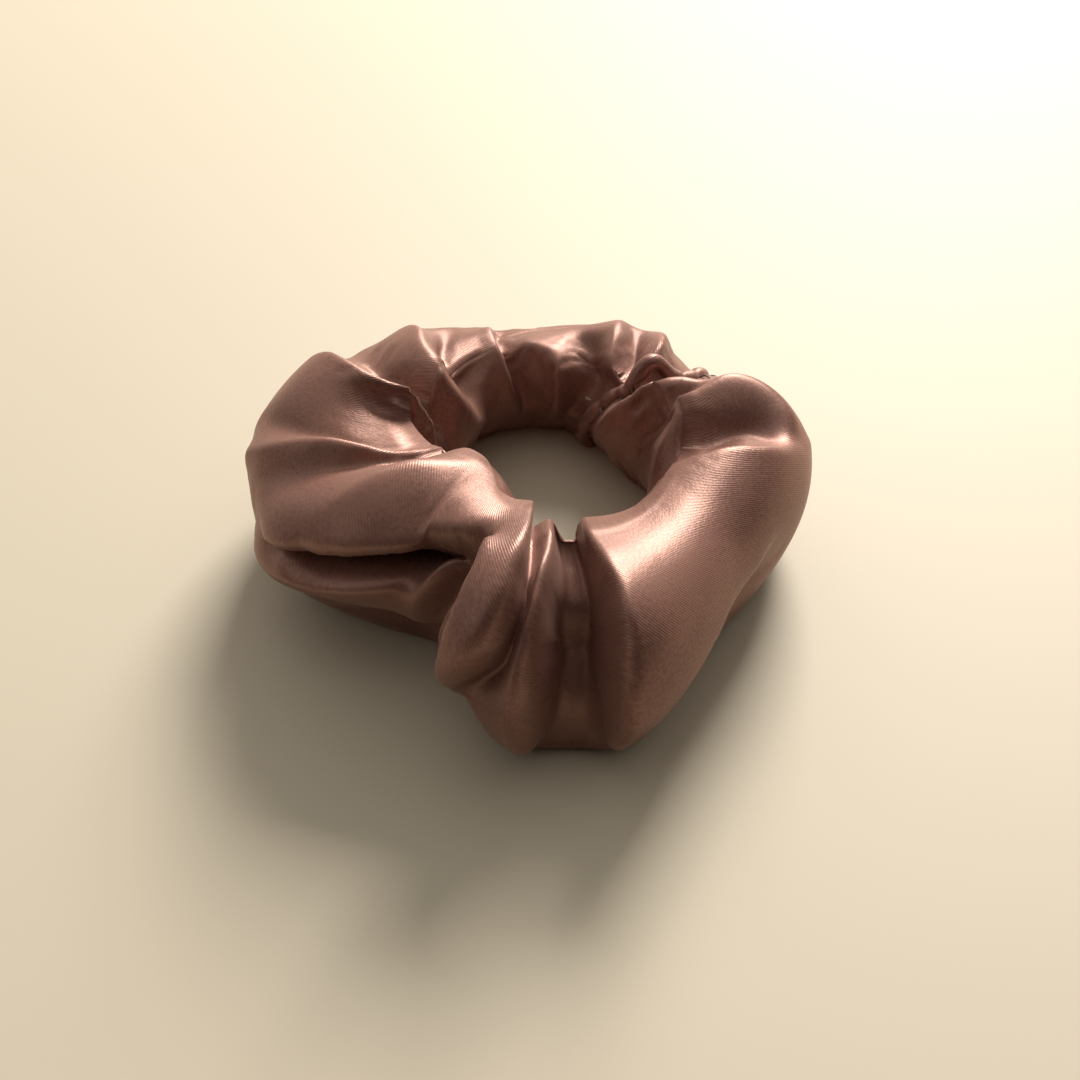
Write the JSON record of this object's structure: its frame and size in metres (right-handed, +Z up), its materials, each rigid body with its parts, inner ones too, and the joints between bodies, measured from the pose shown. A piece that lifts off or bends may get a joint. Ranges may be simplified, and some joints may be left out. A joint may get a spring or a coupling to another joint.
{
  "type": "scrunchie",
  "caption": "Soft satin scrunchie: a gathered fabric tube on a hidden elastic loop, lying flat, that stretches open to hold hair and returns by itself.",
  "frame": {"origin": "middle of the scrunchie's box, on the surface that it lies on", "axes": "+X across the loop along its stretch, from the left end to the right end; +Y towards the closing seam's side; +Z up from the surface"},
  "size_m": [0.1126, 0.1119, 0.038],
  "materials": {
    "satin": "satin",
    "satin_inside": "matte",
    "elastic": "matte",
    "thread": "satin"
  },
  "bodies": {
    "left_end": {"casing_left": "satin", "seam_allowance_left": "satin_inside", "side_seam_thread_left": "thread", "elastic_left": "elastic"},
    "front_run": {"casing_front": "satin", "seam_allowance_front": "satin_inside", "side_seam_thread_front": "thread", "elastic_front": "elastic"},
    "right_end": {"casing_right": "satin", "seam_allowance_right": "satin_inside", "side_seam_thread_right": "thread", "elastic_right": "elastic"},
    "back_run": {"casing_back_lipped": "satin", "casing_back_tucked": "satin", "seam_allowance_back": "satin_inside", "side_seam_thread_back": "thread", "elastic_back_under": "elastic", "elastic_back_over": "elastic", "elastic_join_thread": "thread", "closing_seam_thread": "thread"}
  },
  "joints": [
    {"name": "stretch", "type": "slide", "parent": "left_end", "child": "right_end", "axis": [1, 0, 0], "range_m": [0, 0.09], "stiffness_N_per_m": 100},
    {"name": "front_follow", "type": "slide", "parent": "left_end", "child": "front_run", "axis": [1, 0, 0], "range_m": [0, 0.045]},
    {"name": "back_follow", "type": "slide", "parent": "left_end", "child": "back_run", "axis": [1, 0, 0], "range_m": [0, 0.045]}
  ],
  "couplings": [
    {"joint": "front_follow", "follows": "stretch", "ratio": 0.5},
    {"joint": "back_follow", "follows": "stretch", "ratio": 0.5}
  ]
}
